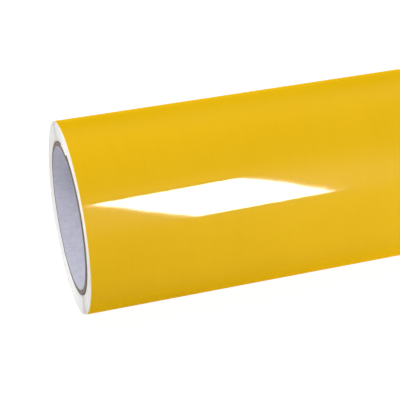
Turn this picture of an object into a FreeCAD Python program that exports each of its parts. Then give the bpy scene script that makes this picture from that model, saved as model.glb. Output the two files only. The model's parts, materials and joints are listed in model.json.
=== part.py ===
import FreeCAD, Part
import math
import os

from FreeCAD import Vector

# A roll of self-adhesive sign vinyl on a spiral-wound paperboard core, in millimetres.
#
# The roll's axis is X and the origin is the middle of the core's bore, with +Z up. Angles round
# the roll are in degrees: 0 is the front (-Y), 90 is the top (+Z) and 180 is the back (+Y). The
# web is wound in that direction, so its radius grows with the angle.

# Core: seven paperboard plies, each one a strip wound in a helix. The lining's edges meet, and
# the other strips have an open butt seam.
CORE_BORE = 76.2          # diameter, the 3-inch standard
CORE_LENGTH = 197.0       # its ends are level with the liner's edges
PLIES = (
    ("core_inner_ply", 0.30),
    ("core_ply_2", 0.50),
    ("core_ply_3", 0.50),
    ("core_ply_4", 0.50),
    ("core_ply_5", 0.50),
    ("core_ply_6", 0.50),
    ("core_outer_ply", 0.20),
)
GLUE_LINE = 0.01          # of each ply's thickness, left as glue between the plies
SEAM_LEAD = 122.7         # advance of a strip along the core in one turn
SEAM_GAP = 0.5            # along the core, between a strip's own edges
SEAM_START = 223.0        # degrees from a tube's own closing edge to its seam
SEAM_STEP = 103.0         # degrees from one ply's seam to the next
SEAM_SPARE = 0.1          # how far the cutter for a seam reaches past each face of the strip

# Web: film, adhesive and release liner, wound liner inwards.
LINER_WIDTH = 197.0
FILM_WIDTH = 196.5        # the film's cut edges lie just inside the liner's
LINER = 0.165
ADHESIVE = 0.030
FILM = 0.100
PITCH = 0.300             # growth in radius per turn: the laminate and 0.005 of air
TURNS = 34 + 1 / 3        # about 10 m of web
START_ANGLE = 85.0        # where the web starts on the core
START_TAPE = 0.1          # thickness of the double-sided tape that holds the web's start
START_TAPE_ARC = 17.0     # degrees, 12 mm round the core

# Free end: the web bends at the tail line, and the film peels from the liner at the peel line.
TAIL_ARC = 60.0           # degrees from the tail line to the cut edge
PEEL_ARC = 25.0           # degrees from the peel line to the cut edge
FINE_STEP = 2.0           # degrees of each arc in the free end, so that a mesh of it follows its curve

# Tabs: two strips of low-tack tape that hold the cut edge down.
TAB_OFFSET = 62.0         # from the middle of the roll to the middle of a tab
TAB_WIDTH = 19.0
TAB = 0.05
TAB_LIFT = 0.005          # gap under the tape
TAB_BASE_ARC = 13.0       # degrees stuck on the film, before the cut edge
TAB_STEP_ARC = 1.5        # degrees in which the tape steps down over the cut edge
TAB_FREE_ARC = 20.0       # degrees stuck on the turn below, past the cut edge

CORE_OUTSIDE = CORE_BORE / 2 + sum(ply[1] for ply in PLIES)
WEB_START = CORE_OUTSIDE + START_TAPE
CUT = TURNS * 360
LAMINATE = LINER + ADHESIVE + FILM


def web_point(angle, depth, half_turn=None):
    """A point of the web at an angle from its start, depth above the liner's inner face.

    The spiral is made of half-turn arcs whose centres alternate between two points, so that
    neighbouring arcs are tangent and each turn lies one pitch above the last.
    """
    if half_turn is None:
        half_turn = math.floor(angle / 180)
    start = math.radians(START_ANGLE)
    shift = PITCH / 4 if half_turn % 2 else -PITCH / 4
    radius = WEB_START + PITCH / 4 + half_turn * PITCH / 2 + depth
    around = start + math.radians(angle)
    return Vector(
        0,
        -shift * math.cos(start) - radius * math.cos(around),
        shift * math.sin(start) + radius * math.sin(around),
    )


def web_arcs(first, last, depth, step=180):
    """The spiral between two angles, as arcs of up to a step that each keep to one half turn."""
    edges = []
    angle = first
    while angle < last - 1e-9:
        half_turn = math.floor(angle / 180 + 1e-9)
        stop = min(last, angle + step, (half_turn + 1) * 180)
        through = (angle, (angle + stop) / 2, stop)
        points = [web_point(a, depth, half_turn) for a in through]
        edges.append(Part.Arc(*points).toShape())
        angle = stop
    return edges


def prism(edges, width, middle=0.0):
    """The solid swept along X by a closed outline in the YZ plane."""
    outline = Part.Wire(Part.__sortEdges__(edges))
    solid = Part.Face(outline).extrude(Vector(width, 0, 0))
    solid.translate(Vector(middle - width / 2, 0, 0))
    return solid


def web_layer(first, last, low, high, width, middle=0.0, step=180):
    """One layer of the web between two angles and two depths."""
    inner = web_arcs(first, last, low, step)
    outer = web_arcs(first, last, high, step)
    ends = [
        Part.makeLine(web_point(first, low), web_point(first, high)),
        Part.makeLine(outer[-1].lastVertex(True).Point, inner[-1].lastVertex(True).Point),
    ]
    return prism(inner + outer + ends, width, middle)


def liner(first, last, step=180):
    return web_layer(first, last, 0, LINER, LINER_WIDTH, step=step)


def adhesive(first, last, step=180):
    return web_layer(first, last, LINER, LINER + ADHESIVE, FILM_WIDTH, step=step)


def film(first, last, step=180):
    return web_layer(first, last, LINER + ADHESIVE, LAMINATE, FILM_WIDTH, step=step)


def tube(inner, outer, length):
    """A tube along X, centred on the origin."""
    start = Vector(-length / 2, 0, 0)
    along = Vector(1, 0, 0)
    return Part.makeCylinder(outer, length, start, along).cut(
        Part.makeCylinder(inner, length, start, along)
    )


def seam(inner, outer):
    """The helical slit between a strip's edges, cut deeper than the strip is thick."""
    low, high = inner - SEAM_SPARE, outer + SEAM_SPARE
    height = CORE_LENGTH + 2 * SEAM_LEAD
    helix = Part.makeHelix(SEAM_LEAD, height, (inner + outer) / 2)
    corners = [(low, -SEAM_GAP), (high, -SEAM_GAP), (high, SEAM_GAP), (low, SEAM_GAP)]
    points = [Vector(radius, 0, gap / 2) for radius, gap in corners]
    slit = helix.makePipeShell([Part.makePolygon(points + points[:1])], True, True)
    slit.translate(Vector(0, 0, -height / 2))
    slit.rotate(Vector(0, 0, 0), Vector(0, 0, 1), SEAM_START)
    slit.rotate(Vector(0, 0, 0), Vector(0, 1, 0), 90)
    return slit


def core_plies():
    """The core's plies from the bore outwards, all but the lining with an open seam."""
    plies = {}
    inner = CORE_BORE / 2
    for count, (name, thickness) in enumerate(PLIES):
        outer = inner + thickness
        top = outer if name == PLIES[-1][0] else outer - GLUE_LINE
        ply = tube(inner, top, CORE_LENGTH)
        if count > 0:
            ply = ply.cut(seam(inner, top)).Solids[0]
            ply.rotate(Vector(0, 0, 0), Vector(1, 0, 0), count * SEAM_STEP)
        plies[name] = ply
        inner = outer
    return plies


def start_tape():
    """The double-sided tape between the core and the first turn's leading edge."""
    low = CORE_OUTSIDE
    high = low + START_TAPE - GLUE_LINE
    corners = []
    for angle in (START_ANGLE, START_ANGLE + START_TAPE_ARC / 2, START_ANGLE + START_TAPE_ARC):
        around = math.radians(angle)
        corners.append(Vector(0, -math.cos(around), math.sin(around)))
    first, middle, last = corners
    return prism(
        [
            Part.Arc(first * low, middle * low, last * low).toShape(),
            Part.Arc(first * high, middle * high, last * high).toShape(),
            Part.makeLine(first * low, first * high),
            Part.makeLine(last * low, last * high),
        ],
        LINER_WIDTH,
    )


def web():
    """The wound web, the tail that lifts off the roll and the film that peels from its liner.

    The film of the roll's outermost full turn is a node of its own.
    """
    tail_line = CUT - TAIL_ARC
    peel_line = CUT - PEEL_ARC
    outer_line = tail_line - 360
    return {
        "wound_liner": liner(0, tail_line),
        "wound_adhesive": adhesive(0, tail_line),
        "wound_film": film(0, outer_line),
        "outer_film": film(outer_line, tail_line),
        "tail_liner": liner(tail_line, CUT, FINE_STEP),
        "tail_adhesive": adhesive(tail_line, peel_line, FINE_STEP),
        "tail_film": film(tail_line, peel_line, FINE_STEP),
        "peel_adhesive": adhesive(peel_line, CUT, FINE_STEP),
        "peel_film": film(peel_line, CUT, FINE_STEP),
    }


def tab_base(middle):
    """The part of a tab that stays on the film, up to the fold over the cut edge."""
    low = LAMINATE + TAB_LIFT
    return web_layer(CUT - TAB_BASE_ARC, CUT, low, low + TAB, TAB_WIDTH, middle)


def tab_free(middle):
    """The part of a tab that steps down over the cut edge and holds on to the turn below."""
    fold = LAMINATE + TAB_LIFT
    rest = LAMINATE + TAB_LIFT - PITCH
    foot = CUT + TAB_STEP_ARC
    tip = foot + TAB_FREE_ARC
    outline = web_arcs(foot, tip, rest) + web_arcs(foot, tip, rest + TAB)
    corners = (
        (CUT, fold, CUT, fold + TAB),
        (CUT, fold, foot, rest),
        (CUT, fold + TAB, foot, rest + TAB),
        (tip, rest, tip, rest + TAB),
    )
    for angle, depth, to_angle, to_depth in corners:
        outline.append(Part.makeLine(web_point(angle, depth), web_point(to_angle, to_depth)))
    return prism(outline, TAB_WIDTH, middle)


def main():
    shapes = core_plies()
    shapes["start_tape"] = start_tape()
    shapes.update(web())
    for side, middle in (("left", -TAB_OFFSET), ("right", TAB_OFFSET)):
        shapes[f"tab_{side}_base"] = tab_base(middle)
        shapes[f"tab_{side}_free"] = tab_free(middle)

    os.makedirs("parts", exist_ok=True)
    for node, shape in shapes.items():
        shape.exportStep(f"parts/{node}.step")


main()
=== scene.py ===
"""A roll of golden yellow sign vinyl on a 3-inch core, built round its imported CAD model.

Units are metres. The roll's axis is X, its middle is the origin and +Z is up. Angles round the
roll are in degrees: 0 is the front (-Y), 90 the top and 180 the back. A web angle counts from
the web's start on the core, and depth is measured outwards from the liner's inner face.
"""
import json
import math

import bpy
import numpy as np
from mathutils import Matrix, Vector

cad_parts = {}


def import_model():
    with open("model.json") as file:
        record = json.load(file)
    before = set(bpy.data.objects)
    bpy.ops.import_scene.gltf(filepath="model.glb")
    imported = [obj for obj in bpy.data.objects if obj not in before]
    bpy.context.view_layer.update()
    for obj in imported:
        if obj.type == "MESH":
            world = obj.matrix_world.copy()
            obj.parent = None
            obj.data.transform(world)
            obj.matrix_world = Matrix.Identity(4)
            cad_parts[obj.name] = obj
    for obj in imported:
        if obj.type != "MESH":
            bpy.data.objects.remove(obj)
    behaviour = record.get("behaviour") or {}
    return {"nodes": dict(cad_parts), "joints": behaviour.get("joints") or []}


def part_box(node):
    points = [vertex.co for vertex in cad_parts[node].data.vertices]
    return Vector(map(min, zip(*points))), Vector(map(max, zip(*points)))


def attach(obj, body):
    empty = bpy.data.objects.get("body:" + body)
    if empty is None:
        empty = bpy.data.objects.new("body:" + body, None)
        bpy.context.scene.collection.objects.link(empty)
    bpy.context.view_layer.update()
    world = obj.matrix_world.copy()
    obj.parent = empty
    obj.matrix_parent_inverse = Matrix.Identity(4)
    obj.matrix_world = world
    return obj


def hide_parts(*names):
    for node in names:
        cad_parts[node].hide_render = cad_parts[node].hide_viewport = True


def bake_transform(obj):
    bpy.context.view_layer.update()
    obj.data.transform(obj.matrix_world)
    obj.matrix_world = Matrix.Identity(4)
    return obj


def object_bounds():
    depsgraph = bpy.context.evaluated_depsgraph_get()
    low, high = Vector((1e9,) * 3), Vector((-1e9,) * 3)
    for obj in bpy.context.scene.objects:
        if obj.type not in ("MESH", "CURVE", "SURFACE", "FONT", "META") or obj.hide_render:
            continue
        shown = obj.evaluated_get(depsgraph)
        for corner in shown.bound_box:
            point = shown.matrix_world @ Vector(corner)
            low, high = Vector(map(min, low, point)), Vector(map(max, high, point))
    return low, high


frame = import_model()
CAD_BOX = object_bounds()
MM = 0.001
MICRON = 0.001 * MM
ROUNDING = 1e-9                  # so that a half turn's first angle isn't counted in the last one
JOINTS = {joint["name"]: joint for joint in frame["joints"]}

# The web, as it is wound in the CAD model.
START_ANGLE = 85.0
CUT = (34 + 1 / 3) * 360
PITCH = 0.300 * MM
LINER, ADHESIVE, FILM = 0.165 * MM, 0.030 * MM, 0.100 * MM
LAMINATE = LINER + ADHESIVE + FILM

# How the web wanders sideways as it is wound.
JITTER = 0.09 * MM               # either way, from turn to turn
JITTER_TURNS = 38                # one for each turn, and a few to spare
JITTER_SEED = 7
DRIFT = (0.4 * MM, -0.5 * MM)    # at the first turn and at the last
WOBBLE = 1.0 * MM                # how far the last turn shifts to the right at the wobble's angle
WOBBLE_ANGLE = 152.0
WOBBLE_ARC = 62.0                # degrees to either side of it

# Waves in the film's outer face, each with its height in microns, its length along the roll in
# millimetres, its lobes round the roll and its phase.
WAVES = (
    (3.2, 71.0, 2.0, 0.4),
    (2.4, 43.0, -3.0, 1.9),
    (1.5, 27.0, 5.0, 3.1),
    (1.1, 18.0, -7.0, 0.9),
    (2.0, 160.0, 9.0, 2.2),
    (1.2, 110.0, 14.0, 4.4),
)

# The core's plies.
SEAM_LEAD = 122.7 * MM           # advance of a strip along the core in one turn
SEAM_GAP = 0.5 * MM              # along the core, between a strip's own edges
LINING_GAP = 0.12 * MM           # the same for the lining, whose edges nearly meet
SEAM_ANGLE = 111.25              # where the lining's seam crosses the middle of the core
SEAM_STEP = 103.0                # degrees from one ply's seam to the next

# The tabs of tape over the cut edge.
TAB = 0.05 * MM
TAB_LIFT = 0.005 * MM            # gap under the tape
TAB_STEP_ARC = 1.5               # degrees in which the tape steps down over the cut edge
TEETH = 14
TOOTH_ARC = 0.7
TOOTH_FADE = 6                   # power by which the teeth die away from the torn end

# Arcs round the roll past the free end's joints, in degrees.
TAIL_BEND = 24.0
PEEL_BEND = 11.0
TAB_BEND = 5.0

# The meshes' steps in degrees, and their rows and columns.
WOUND_STEP = 3.0
FINE_STEP = 0.75
PLY_STEP = 1.5
WOUND_COLUMNS, PLAIN_COLUMNS, FILM_COLUMNS = 1, 8, 48
TAB_BASE_STEP = 0.5
TAB_BASE_SPARE = 0.01            # degrees, so that a step that ends at the cut edge is kept
TAB_FREE_ROWS = 64
START_TAPE_ROWS, START_TAPE_COLUMNS = 13, 3


def vertices(node):
    """A CAD node's vertices, one to a row."""
    return np.array([v.co for v in frame["nodes"][node].data.vertices])


def radii(node):
    """The least and the greatest distance of a CAD node's vertices from the roll's axis."""
    points = vertices(node)
    distances = np.hypot(points[:, 1], points[:, 2])
    return distances.min(), distances.max()


def width_of(node):
    """How long a CAD node is along the roll."""
    low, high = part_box(node)
    return high.x - low.x


def angle_of(point):
    """Where a point lies round the roll."""
    return math.degrees(math.atan2(point[2], -point[1])) % 360


CUT_ANGLE = angle_of(JOINTS["tab_left_peel"]["pos_m"])
TAIL_LINE = CUT - (CUT_ANGLE - angle_of(JOINTS["tail_lift"]["pos_m"]))
PEEL_LINE = CUT - (CUT_ANGLE - angle_of(JOINTS["film_peel"]["pos_m"]))
OUTER_LINE = TAIL_LINE - 360
WEB_START = radii("wound_liner")[0]
LINER_WIDTH = width_of("wound_liner")
FILM_WIDTH = width_of("wound_film")
CORE_LENGTH = width_of("core_inner_ply")

# The web's layers: the depths of the inner and outer face, and the width.
LAYERS = {
    "liner": (0, LINER, LINER_WIDTH),
    "adhesive": (LINER, LINER + ADHESIVE, FILM_WIDTH),
    "film": (LINER + ADHESIVE, LAMINATE, FILM_WIDTH),
}


# ---------------------------------------------------------------- meshes

def slab_faces(rows, columns):
    """The top, bottom and rim faces between two grids, the top grid's points numbered first."""
    count = rows * columns
    index = np.arange(count).reshape(rows, columns)
    a, b = index[:-1, :-1].ravel(), index[:-1, 1:].ravel()
    c, d = index[1:, 1:].ravel(), index[1:, :-1].ravel()
    top_faces = np.stack([a, b, c, d], 1)
    bottom_faces = top_faces[:, ::-1] + count
    rim = np.concatenate(
        [index[0, :-1], index[:-1, -1], index[-1, :0:-1], index[:0:-1, 0]]
    )
    after = np.roll(rim, -1)
    rim_faces = np.stack([rim, rim + count, after + count, after], 1)
    return top_faces, bottom_faces, rim_faces


def slab(name, top, bottom, materials, node):
    """A closed sheet between two grids of points, standing for a CAD node.

    top and bottom are (points, normals), each a rows x columns x 3 array. The materials are
    those of the top, the rim and the bottom.
    """
    (upper, upper_normals), (lower, lower_normals) = top, bottom
    points = np.concatenate([upper.reshape(-1, 3), lower.reshape(-1, 3)])
    top_faces, bottom_faces, rim_faces = slab_faces(*upper.shape[:2])
    faces = np.concatenate([top_faces, bottom_faces, rim_faces])

    mesh = bpy.data.meshes.new(name)
    mesh.from_pydata(points.tolist(), [], faces.tolist())
    for material in materials:
        mesh.materials.append(material)
    slots = np.repeat([0, 2, 1], [len(top_faces), len(bottom_faces), len(rim_faces)])
    mesh.polygons.foreach_set("material_index", slots.astype(np.int32))
    mesh.polygons.foreach_set("use_smooth", np.ones(len(faces), bool))

    corners = points[rim_faces]
    flat = np.cross(corners[:, 2] - corners[:, 0], corners[:, 3] - corners[:, 1])
    sizes = np.linalg.norm(flat, axis=1, keepdims=True)
    flat /= np.where(sizes > 0, sizes, 1)
    normals = np.concatenate([upper_normals.reshape(-1, 3), lower_normals.reshape(-1, 3)])
    loops = np.concatenate(
        [normals[top_faces.ravel()], normals[bottom_faces.ravel()], np.repeat(flat, 4, axis=0)]
    )
    mesh.normals_split_custom_set(loops.tolist())
    obj = bpy.data.objects.new(name, mesh)
    bpy.context.scene.collection.objects.link(obj)
    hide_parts(node)
    return obj


def with_normals(points, side):
    """The grid without its outermost rows and columns, and the normals there."""
    across = points[1:-1, 2:] - points[1:-1, :-2]
    along = points[2:, 1:-1] - points[:-2, 1:-1]
    normals = np.cross(across, along)
    normals *= side / np.linalg.norm(normals, axis=2, keepdims=True)
    return points[1:-1, 1:-1], normals


def padded(values):
    """The values with one more at each end, for the normals at the rim."""
    return np.concatenate(
        [[2 * values[0] - values[1]], values, [2 * values[-1] - values[-2]]]
    )


# ---------------------------------------------------------------- web

def web_points(angles, across, depths):
    """Points of the two-centre spiral: angles by rows, across (X) by columns."""
    half_turns = np.floor(angles / 180 + ROUNDING)
    start = math.radians(START_ANGLE)
    shifts = np.where(half_turns % 2 > 0.5, PITCH / 4, -PITCH / 4)
    radius = WEB_START + PITCH / 4 + half_turns * PITCH / 2 + depths
    around = start + np.radians(angles)
    y = -shifts * math.cos(start) - radius * np.cos(around)
    z = shifts * math.sin(start) + radius * np.sin(around)
    x, y, z = np.broadcast_arrays(across, y, z)
    return np.stack([x, y, z], axis=2)


def weave(angles):
    """How far the web wanders sideways as it is wound.

    It jitters from turn to turn, drifts slowly to the left, and wobbles to the right once a turn.
    """
    rng = np.random.default_rng(JITTER_SEED)
    offsets = rng.uniform(-JITTER, JITTER, JITTER_TURNS)
    around = (angles + START_ANGLE - WOBBLE_ANGLE + 180) % 360 - 180
    bump = np.cos(np.radians(np.clip(around / WOBBLE_ARC, -1, 1) * 90)) ** 2
    share = angles / CUT
    drift = DRIFT[0] + (DRIFT[1] - DRIFT[0]) * share + WOBBLE * bump * share
    return np.interp(angles / 360, np.arange(JITTER_TURNS), offsets) + drift


def ripple(angles, across):
    """The slight unevenness of the film's outer face, all of it below the face."""
    around = np.radians(angles + START_ANGLE)
    total = 0.0
    for height, length, lobes, phase in WAVES:
        wave = np.sin(2 * math.pi * across / (length * MM) + lobes * around + phase)
        total = total + height * (wave - 1)
    return total * MICRON


def web_layer(node, layer, first, last, step, columns, looks, uneven=False):
    """One layer of the web between two web angles."""
    low, high, width = LAYERS[layer]
    count = math.ceil((last - first) / step)
    angles = padded(np.linspace(first, last, count + 1))[:, None]
    across = padded(np.linspace(-width / 2, width / 2, columns + 1))[None, :] + weave(angles)
    relief = ripple(angles, across) if uneven else 0.0
    top = with_normals(web_points(angles, across, high + relief), 1)
    bottom = with_normals(web_points(angles, across, low + 0 * across), -1)
    return slab(node + "_sheet", top, bottom, looks[layer], node)


def bend(piece, line, arc, depth):
    """Bakes the piece's placement into its mesh."""
    ends = web_points(np.array([[line], [line + arc]]), np.zeros((1, 1)), np.full((2, 1), depth))
    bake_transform(piece)


def tail_pieces(looks):
    """The layers of the tail and of the film flap."""
    tail = (
        ("tail_liner", "liner", TAIL_LINE, CUT, FINE_STEP, PLAIN_COLUMNS, looks),
        ("tail_adhesive", "adhesive", TAIL_LINE, PEEL_LINE, FINE_STEP, PLAIN_COLUMNS, looks),
        ("tail_film", "film", TAIL_LINE, PEEL_LINE, FINE_STEP, FILM_COLUMNS, looks, True),
    )
    flap = (
        ("peel_adhesive", "adhesive", PEEL_LINE, CUT, FINE_STEP, PLAIN_COLUMNS, looks),
        ("peel_film", "film", PEEL_LINE, CUT, FINE_STEP, FILM_COLUMNS, looks, True),
    )
    for piece in tail:
        bend(web_layer(*piece), TAIL_LINE, TAIL_BEND, LAMINATE)
    for piece in flap:
        bend(web_layer(*piece), PEEL_LINE, PEEL_BEND, LAMINATE)


def roll_pieces(looks):
    """The wound turns, all of which stay on the roll."""
    pieces = (
        ("wound_liner", "liner", 0, TAIL_LINE, WOUND_STEP, WOUND_COLUMNS, looks),
        ("wound_adhesive", "adhesive", 0, TAIL_LINE, WOUND_STEP, WOUND_COLUMNS, looks),
        ("wound_film", "film", 0, OUTER_LINE, WOUND_STEP, WOUND_COLUMNS, looks),
        ("outer_film", "film", OUTER_LINE, TAIL_LINE, FINE_STEP, FILM_COLUMNS, looks, True),
    )
    for piece in pieces:
        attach(web_layer(*piece), "roll")


# ---------------------------------------------------------------- tabs

def tab_depth(angles):
    """The tape's height: over the film, then down over the cut edge on to the turn below."""
    down = np.clip((angles - CUT) / TAB_STEP_ARC, 0, 1)
    return LAMINATE + TAB_LIFT - PITCH * down * down * (3 - 2 * down)


def tape(node, angles, teeth_end, middle, width, looks):
    """A strip of tape along the web, with a pinked end where the tape was torn off.

    teeth_end is 1 where that end is the strip's last and -1 where it is its first.
    """
    first, last = angles[0], angles[-1]
    angles = padded(angles)
    across = padded(np.linspace(middle - width / 2, middle + width / 2, 2 * TEETH + 1))
    share = np.clip((angles - first) / (last - first), 0, 1)
    near_end = share if teeth_end > 0 else 1 - share
    notch = (np.arange(len(across)) % 2) * TOOTH_ARC
    turned = angles[:, None] - teeth_end * notch[None, :] * near_end[:, None] ** TOOTH_FADE
    low = tab_depth(turned)
    top = with_normals(web_points(turned, across[None, :], low + TAB), 1)
    bottom = with_normals(web_points(turned, across[None, :], low), -1)
    return slab(node + "_tape", top, bottom, looks["tape"], node)


def tab_pieces(looks):
    """The tabs: a base that stays on the film flap, and a free part past the cut edge."""
    for side in ("left", "right"):
        base, free = f"tab_{side}_base", f"tab_{side}_free"
        low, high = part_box(base)
        middle, width = (low.x + high.x) / 2, high.x - low.x
        first = CUT - (CUT_ANGLE - min(angle_of(p) for p in vertices(base)))
        last = CUT + (max(angle_of(p) for p in vertices(free)) - CUT_ANGLE)
        stuck_on = np.arange(first, CUT + TAB_BASE_SPARE, TAB_BASE_STEP)
        past_cut = np.linspace(CUT, last, TAB_FREE_ROWS)
        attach(tape(base, stuck_on, -1, middle, width, looks), "film_flap")
        held = tape(free, past_cut, 1, middle, width, looks)
        bend(held, CUT, TAB_BEND, LAMINATE + TAB_LIFT + TAB)


# ---------------------------------------------------------------- core

def ply(node, seam_angle, gap, materials):
    """One of the core's strips: a helix with a butt seam, cut off square at the core's ends."""
    inner, outer = radii(node)
    half = CORE_LENGTH / 2
    first = (SEAM_LEAD - gap + half) / SEAM_LEAD * 360
    last = -half / SEAM_LEAD * 360
    count = math.ceil((first - last) / PLY_STEP)
    turned = np.linspace(first, last, count + 1)[1:-1]    # all but the tips, which have no width
    left = np.clip(-SEAM_LEAD * turned / 360, -half, half)
    right = np.clip(-SEAM_LEAD * turned / 360 + SEAM_LEAD - gap, -half, half)
    around = np.radians(turned + seam_angle)[:, None]
    across = np.stack([left, right], 1)
    round_y, round_z = -np.cos(around) + 0 * across, np.sin(around) + 0 * across
    faces = []
    for radius, side in ((outer, 1), (inner, -1)):
        points = np.stack([across, radius * round_y, radius * round_z], 2)
        normals = np.stack([0 * across, side * round_y, side * round_z], 2)
        faces.append((points[::-1], normals[::-1]))
    return slab(node + "_strip", faces[0], faces[1], materials, node)


def core_pieces(looks):
    """The plies from the bore outwards."""
    plies = sorted((node for node in frame["nodes"] if node.startswith("core_")), key=radii)
    for count, node in enumerate(plies):
        gap = SEAM_GAP if count else LINING_GAP
        look = "lining" if count == 0 else "kraft" if node == plies[-1] else "board"
        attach(ply(node, SEAM_ANGLE - count * SEAM_STEP, gap, looks[look]), "roll")


def start_tape(looks):
    """The double-sided tape under the web's leading edge."""
    inner, outer = radii("start_tape")
    span = [angle_of(p) for p in vertices("start_tape")]
    angles = padded(np.linspace(min(span), max(span), START_TAPE_ROWS))
    width = width_of("start_tape")
    across = padded(np.linspace(-width / 2, width / 2, START_TAPE_COLUMNS))
    grids = []
    for radius, side in ((outer, 1), (inner, -1)):
        around = np.radians(angles)[:, None] + 0 * across
        y, z = -radius * np.cos(around), radius * np.sin(around)
        points = np.stack([across + 0 * around, y, z], 2)
        grids.append(with_normals(points, side))
    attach(slab("start_tape_strip", grids[0], grids[1], looks["tissue"], "start_tape"), "roll")


# ---------------------------------------------------------------- materials

NOISE_RANGE = (0.3, 0.7)           # where most of the noise lies
BORDER = (0.35 * MM, 0.15 * MM)    # from the film's cut edge, where the film goes from yellow to pale

# The film's finish, and the painted shade on its yellow, change with facing, which is 0 seen square
# on and 1 seen edge on.
COAT_FADE = (0.52, 0.86)           # where the sharp reflection fades out
SHEEN = 0.07                       # level of the broad reflection
SHEEN_FADE = (0.10, 0.60)
PAINTED_SHADE_RISE = (0.30, 0.70)          # where painted shade darkens the yellow towards the outlines


class Look:
    """A material with a Principled shader, and short ways to add its nodes."""

    def __init__(self, name, **values):
        self.material = bpy.data.materials.new(name)
        self.material.use_nodes = True
        self.tree = self.material.node_tree
        self.shader = self.tree.nodes["Principled BSDF"]
        for key, value in values.items():
            self.shader.inputs[key.replace("_", " ")].default_value = value
        self.place = self.node("ShaderNodeTexCoord").outputs["Object"]

    def node(self, kind, inputs=(), **settings):
        """A new node, its inputs set to values or linked to other nodes' outputs."""
        node = self.tree.nodes.new(kind)
        for key, value in settings.items():
            setattr(node, key, value)
        for key, value in dict(inputs).items():
            if isinstance(value, bpy.types.NodeSocket):
                self.tree.links.new(value, node.inputs[key])
            else:
                node.inputs[key].default_value = value
        return node

    def link(self, output, name):
        self.tree.links.new(output, self.shader.inputs[name])

    def noise(self, scale, stretch=(1, 1, 1), detail=2.0):
        """Noise of a number of cells per metre, stretched along the axes."""
        place = self.node("ShaderNodeVectorMath", {0: self.place, 1: stretch}, operation="MULTIPLY")
        inputs = {"Vector": place.outputs[0], "Scale": scale, "Detail": detail}
        return self.node("ShaderNodeTexNoise", inputs).outputs["Fac"]

    def rings(self, per_metre):
        """Noise that changes only with the distance from the roll's axis."""
        flat = self.node("ShaderNodeVectorMath", {0: self.place, 1: (0, 1, 1)}, operation="MULTIPLY")
        radius = self.node("ShaderNodeVectorMath", {0: flat.outputs[0]}, operation="LENGTH")
        inputs = {"W": radius.outputs["Value"], "Scale": per_metre, "Detail": 3.0}
        return self.node("ShaderNodeTexNoise", inputs, noise_dimensions="1D").outputs["Fac"]

    def ramp(self, value, start, end, low=0.0, high=1.0):
        """Low up to a start value, high past an end value, and straight between them."""
        inputs = {"Value": value, "From Min": start, "From Max": end, "To Min": low, "To Max": high}
        return self.node("ShaderNodeMapRange", inputs).outputs["Result"]

    def spread(self, noise, low, high):
        """Noise, which crowds round a half, stretched over a range."""
        return self.ramp(noise, *NOISE_RANGE, low, high)

    def specks(self, scale, stretch=(1, 1, 1), detail=2.0):
        """Noise stretched over 0 to 1."""
        return self.spread(self.noise(scale, stretch, detail), 0, 1)

    def calculate(self, operation, *values):
        """The result of a sum, each value a number or another node's output."""
        node = self.node("ShaderNodeMath", dict(enumerate(values)), operation=operation)
        return node.outputs[0]

    def mixer(self, first, second, **settings):
        """A mix node for two colours, each a tuple or another node's output."""
        node = self.node("ShaderNodeMix", data_type="RGBA", **settings)
        for socket, value in ((node.inputs[6], first), (node.inputs[7], second)):
            if isinstance(value, bpy.types.NodeSocket):
                self.tree.links.new(value, socket)
            else:
                socket.default_value = (*value, 1)
        return node

    def mix(self, share, first, second):
        node = self.mixer(first, second)
        self.tree.links.new(share, node.inputs["Factor"])
        return node.outputs[2]

    def multiply(self, first, second):
        node = self.mixer(first, second, blend_type="MULTIPLY")
        node.inputs["Factor"].default_value = 1
        return node.outputs[2]

    def paint(self, share, first, second):
        """The base colour, mixed from two."""
        self.link(self.mix(share, first, second), "Base Color")

    def relief(self, height, depth):
        """Bumps of a depth in metres."""
        node = self.node("ShaderNodeBump", {"Height": height, "Distance": depth})
        self.link(node.outputs["Normal"], "Normal")


def vinyl_look():
    """High-gloss calendered vinyl: a sharp clear reflection over a faint broad one."""
    look = Look("vinyl_film", IOR=1.46, Coat_Roughness=0.048, Coat_IOR=1.46)
    clouds = look.mix(look.specks(9, detail=3.0), (0.668, 0.392, 0.0034), (0.704, 0.421, 0.0058))
    streaks = look.mix(look.specks(40, (14, 0.6, 0.6)), (0.985, 0.982, 0.95), (1.0, 1.0, 1.0))
    facing = look.node("ShaderNodeLayerWeight", {"Blend": 0.5}).outputs["Facing"]
    # Painted shade: the yellow is darkened towards the outlines, where the film is seen edge on.
    painted_shade = look.mix(look.ramp(facing, *PAINTED_SHADE_RISE), (1.0, 1.0, 1.0), (0.93, 0.935, 1.0))
    yellow = look.multiply(look.multiply(clouds, streaks), painted_shade)

    across = look.node("ShaderNodeSeparateXYZ", {0: look.place}).outputs["X"]
    reach = look.calculate("ABSOLUTE", look.calculate("SUBTRACT", across, DRIFT[1]))
    border = look.ramp(reach, FILM_WIDTH / 2 - BORDER[0], FILM_WIDTH / 2 - BORDER[1])
    look.paint(border, yellow, (0.95, 0.80, 0.42))

    look.link(look.ramp(facing, *COAT_FADE, 1.0, 0.0), "Coat Weight")
    look.link(look.ramp(facing, *SHEEN_FADE, SHEEN, 0.0), "Specular IOR Level")
    look.link(look.spread(look.noise(260), 0.36, 0.42), "Roughness")
    look.relief(look.noise(1500), 0.004 * MM)
    return look.material


def film_edge_look():
    """The film's cut edge, paler than its face."""
    look = Look("film_cut_edge", Roughness=0.45)
    look.paint(look.rings(9000), (0.86, 0.72, 0.34), (0.96, 0.86, 0.52))
    return look.material


def adhesive_look():
    """Clear adhesive, seen against the back of the film."""
    look = Look("acrylic_adhesive", Roughness=0.22)
    look.paint(look.specks(180, detail=4.0), (0.80, 0.60, 0.16), (0.86, 0.68, 0.24))
    look.relief(look.noise(420, detail=3.0), 0.02 * MM)
    return look.material


def adhesive_edge_look():
    """The adhesive's cut edge, dulled by dust."""
    look = Look("adhesive_edge", Roughness=0.5)
    look.paint(look.rings(7000), (0.78, 0.76, 0.68), (0.88, 0.87, 0.82))
    return look.material


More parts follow.
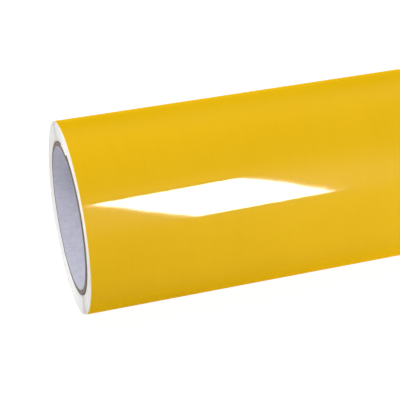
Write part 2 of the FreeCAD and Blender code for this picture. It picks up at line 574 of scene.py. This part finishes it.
def liner_face_look():
    """The liner's silicone side: white, smooth and a little glossy."""
    look = Look("liner_release_face", Roughness=0.28)
    look.paint(look.specks(120, detail=5.0), (0.76, 0.765, 0.77), (0.80, 0.80, 0.80))
    look.relief(look.noise(900, detail=3.0), 0.008 * MM)
    return look.material


def liner_back_look():
    """The liner's bare paper side."""
    look = Look("liner_paper_back", Roughness=0.75)
    fibres = look.specks(1600, (0.35, 1, 1), 5.0)
    look.paint(fibres, (0.84, 0.835, 0.83), (0.92, 0.92, 0.91))
    look.relief(fibres, 0.03 * MM)
    return look.material


def liner_edge_look():
    """The liner's cut edges, which make up the roll's white end."""
    look = Look("liner_cut_edge", Roughness=0.7)
    grain = look.mix(look.spread(look.rings(5000), 0, 1), (0.87, 0.87, 0.875), (0.97, 0.97, 0.97))
    dust = look.mix(look.specks(900, detail=4.0), (0.94, 0.94, 0.945), (1, 1, 1))
    look.link(look.multiply(grain, dust), "Base Color")
    look.relief(look.noise(2500), 0.04 * MM)
    return look.material


def lining_look():
    """Smooth lavender-grey paper inside the core."""
    look = Look("core_lining_paper", Roughness=0.5)
    fibres = look.specks(700, (0.5, 1, 1), 6.0)
    look.paint(fibres, (0.52, 0.52, 0.615), (0.62, 0.62, 0.715))
    look.relief(fibres, 0.03 * MM)
    return look.material


def board_look(name, dark, light):
    """Grey-brown paperboard with visible fibres and layers."""
    look = Look(name, Roughness=0.85)
    fibres = look.specks(1100, detail=6.0)
    layers = look.spread(look.rings(6500), 0, 1)
    look.paint(look.calculate("MULTIPLY", fibres, layers), dark, light)
    look.relief(fibres, 0.08 * MM)
    return look.material


def tape_look():
    """Translucent matt tape."""
    look = Look("tab_tape", Roughness=0.42, Alpha=0.55)
    look.paint(look.specks(300, detail=4.0), (0.86, 0.84, 0.78), (0.95, 0.94, 0.90))
    look.relief(look.noise(800, detail=3.0), 0.01 * MM)
    return look.material


def tissue_look():
    """Thin double-sided tissue tape."""
    look = Look("tissue_tape", Roughness=0.6)
    look.paint(look.specks(900, detail=5.0), (0.78, 0.76, 0.68), (0.88, 0.87, 0.80))
    return look.material


def all_looks():
    """The materials of each kind of piece: of its outer face, its rim and its inner face."""
    film, film_edge = vinyl_look(), film_edge_look()
    glue, glue_edge = adhesive_look(), adhesive_edge_look()
    lining = lining_look()
    board = board_look("core_board", (0.19, 0.150, 0.125), (0.36, 0.30, 0.26))
    kraft = board_look("core_kraft_ply", (0.13, 0.100, 0.080), (0.24, 0.19, 0.15))
    tab, tissue = tape_look(), tissue_look()
    return {
        "film": (film, film_edge, film),
        "adhesive": (glue, glue_edge, glue),
        "liner": (liner_face_look(), liner_edge_look(), liner_back_look()),
        "lining": (board, lining, lining),
        "board": (board, board, board),
        "kraft": (kraft, kraft, kraft),
        "tape": (tab, tab, tab),
        "tissue": (tissue, tissue, tissue),
    }


# ---------------------------------------------------------------- studio

WHITE, BLACK = (1, 1, 1, 1), (0, 0, 0, 1)

# The floor: its grey and its glow, as the camera sees them and as other rays do. Glossy rays see
# it darker still and with no glow. For other rays the glow rises along X, from beyond the roll's
# left end to beyond its right.
FLOOR_REACH = 6.0
FLOOR_GAP = 0.2 * MM               # below the roll
FLOOR_GREY, FLOOR_GREY_SEEN, FLOOR_GREY_GLOSSY = 0.92, 0.10, 0.03
FLOOR_GLOW_SEEN = 0.97
FLOOR_GLOW = (0.02, 0.70)
FLOOR_GLOW_RISE = (-0.12, 0.16)
AMBIENT = 0.66

# The strip softbox that makes the film's highlight: the bottom and top points of its sides.
STRIP_LEFT = ((0.453, -1.993, 0.419), (0.233, -1.436, 1.434))
STRIP_RIGHT = ((0.772, -2.018, 0.481), (0.577, -1.435, 1.557))
STRIP_BOW, STRIP_RADIANCE = 0.017, 34.0

# The softboxes in the studio's corners, which lean in over the roll.
CORNERS = (("left", -1, -1), ("rear_left", -1, 1), ("rear_right", 1, 1))
CORNER_REACH, CORNER_HEIGHT, CORNER_WIDTH = 1.35, 1.0, 0.32
CORNER_LEAN, CORNER_RISE = 0.47, 0.88    # how far a softbox reaches inwards and upwards
CORNER_RADIANCE = 12.0

# The fill lights: name, place, size and radiance.
FILLS = (
    ("key", (1.7, -1.1, 0.45), (1.2, 1.2), 1.6),
    ("back_fill", (0.2, 1.9, 1.2), (1.8, 1.2), 3.5),
    ("side_fill", (-0.8, -0.3, 1.8), (0.8, 0.8), 10.0),
)

LENS, SENSOR = 114.23, 36.0        # the camera's, in millimetres
CLIP = (0.01, 30.0)
AIM = (-0.0248, 0.0039, -0.0054)
AZIMUTH, ELEVATION = -17.13, 33.68
DISTANCE = 0.6930


def grey(value):
    return (value, value, value)


def add_area(name, place, size, radiance):
    """A rectangular area light that faces the roll's middle, with no reflection of its own."""
    light = bpy.data.lights.new(name, "AREA")
    light.shape = "RECTANGLE"
    light.size, light.size_y = size
    light.energy = radiance * math.pi * size[0] * size[1]
    obj = bpy.data.objects.new(name, light)
    obj.location = place
    obj.rotation_euler = (-Vector(place)).to_track_quat("-Z", "Y").to_euler()
    obj.visible_glossy = False
    bpy.context.scene.collection.objects.link(obj)


def add_stage(name, points, faces, material):
    """A mesh that belongs to the studio."""
    mesh = bpy.data.meshes.new(name)
    mesh.from_pydata(points, [], faces)
    mesh.materials.append(material)
    obj = bpy.data.objects.new(name, mesh)
    bpy.context.scene.collection.objects.link(obj)
    return obj


def floor_look():
    """White to the camera, dark to the film's gloss, and pale to all other rays."""
    look = Look("pale_floor", Roughness=0.8, Specular_IOR_Level=0.0, Emission_Color=WHITE)
    rays = look.node("ShaderNodeLightPath").outputs
    camera_ray, glossy_ray = rays["Is Camera Ray"], rays["Is Glossy Ray"]
    color = look.mix(glossy_ray, grey(FLOOR_GREY), grey(FLOOR_GREY_GLOSSY))
    look.paint(camera_ray, color, grey(FLOOR_GREY_SEEN))
    along = look.node("ShaderNodeSeparateXYZ", {0: look.place}).outputs["X"]
    glow = look.ramp(along, *FLOOR_GLOW_RISE, *FLOOR_GLOW)
    glow = look.ramp(camera_ray, 0.0, 1.0, glow, FLOOR_GLOW_SEEN)
    not_glossy = look.calculate("SUBTRACT", 1.0, glossy_ray)
    look.link(look.calculate("MULTIPLY", glow, not_glossy), "Emission Strength")
    return look.material


def floor():
    """A pale floor that reads as white in the picture."""
    low = CAD_BOX[0][2] - FLOOR_GAP
    corners = ((-1, -1), (1, -1), (1, 1), (-1, 1))
    points = [(x * FLOOR_REACH, y * FLOOR_REACH, low) for x, y in corners]
    add_stage("floor", points, [(0, 1, 2, 3)], floor_look())


def world():
    """Even white light from all round, which the film's gloss sees as a dark studio."""
    studio = bpy.data.worlds.new("studio")
    bpy.context.scene.world = studio
    studio.use_nodes = True
    tree = studio.node_tree
    background = tree.nodes["Background"]
    background.inputs["Color"].default_value = WHITE
    rays = tree.nodes.new("ShaderNodeLightPath")
    strength = tree.nodes.new("ShaderNodeMath")
    strength.operation = "MULTIPLY_ADD"
    tree.links.new(rays.outputs["Is Diffuse Ray"], strength.inputs[0])
    strength.inputs[1].default_value = AMBIENT
    tree.links.new(rays.outputs["Is Camera Ray"], strength.inputs[2])
    tree.links.new(strength.outputs[0], background.inputs["Strength"])


def softbox(name, left, right, bow, radiance):
    """A glowing panel that is seen only in reflections.

    left and right are its sides, each a bottom and a top point. Both are bowed to the left, by
    nothing at their ends and the whole bow half way up.
    """
    rows = 24
    left, right = np.array(left), np.array(right)
    across = (right - left).mean(axis=0)
    across /= np.linalg.norm(across)
    points = []
    for up in np.linspace(0, 1, rows + 1):
        aside = -4 * up * (1 - up) * bow * across
        for bottom, top in (left, right):
            points.append(tuple(bottom + (top - bottom) * up + aside))
    faces = [(2 * i, 2 * i + 1, 2 * i + 3, 2 * i + 2) for i in range(rows)]
    look = Look(name + "_cloth", Roughness=0.9, Base_Color=BLACK, Emission_Color=WHITE,
                Emission_Strength=radiance)
    obj = add_stage(name, points, faces, look.material)
    obj.visible_camera = obj.visible_diffuse = obj.visible_shadow = False


def corner_softbox(name, x, y):
    """A softbox over a place on the floor, leaning in over the roll."""
    middle = Vector((x, y, CORNER_HEIGHT))
    inward = -Vector((x, y, 0)).normalized()
    rise = (CORNER_LEAN * inward + Vector((0, 0, CORNER_RISE))) / 2
    aside = inward.cross((0, 0, 1)) * CORNER_WIDTH / 2
    left = (middle - aside - rise, middle - aside + rise)
    right = (middle + aside - rise, middle + aside + rise)
    softbox(name, left, right, 0.0, CORNER_RADIANCE)


def lights():
    """The strip, softboxes for the views from the sides and the back, and soft fills."""
    softbox("strip_softbox", STRIP_LEFT, STRIP_RIGHT, STRIP_BOW, STRIP_RADIANCE)
    for name, x, y in CORNERS:
        corner_softbox(name + "_softbox", x * CORNER_REACH, y * CORNER_REACH)
    for fill in FILLS:
        add_area(*fill)


def camera():
    """The photograph's view, given by the point looked at, the direction and the distance."""
    data = bpy.data.cameras.new("camera")
    data.lens, data.sensor_width = LENS, SENSOR
    data.clip_start, data.clip_end = CLIP
    obj = bpy.data.objects.new("camera", data)
    azimuth, elevation = math.radians(AZIMUTH), math.radians(ELEVATION)
    level = math.cos(elevation)
    view = Vector((-math.sin(azimuth) * level, math.cos(azimuth) * level, -math.sin(elevation)))
    obj.location = Vector(AIM) - view * DISTANCE
    obj.rotation_euler = view.to_track_quat("-Z", "Y").to_euler()
    bpy.context.scene.collection.objects.link(obj)
    bpy.context.scene.camera = obj


looks = all_looks()
core_pieces(looks)
start_tape(looks)
roll_pieces(looks)
tail_pieces(looks)
tab_pieces(looks)
floor()
world()
lights()
camera()
bpy.context.scene.view_settings.view_transform = "Standard"
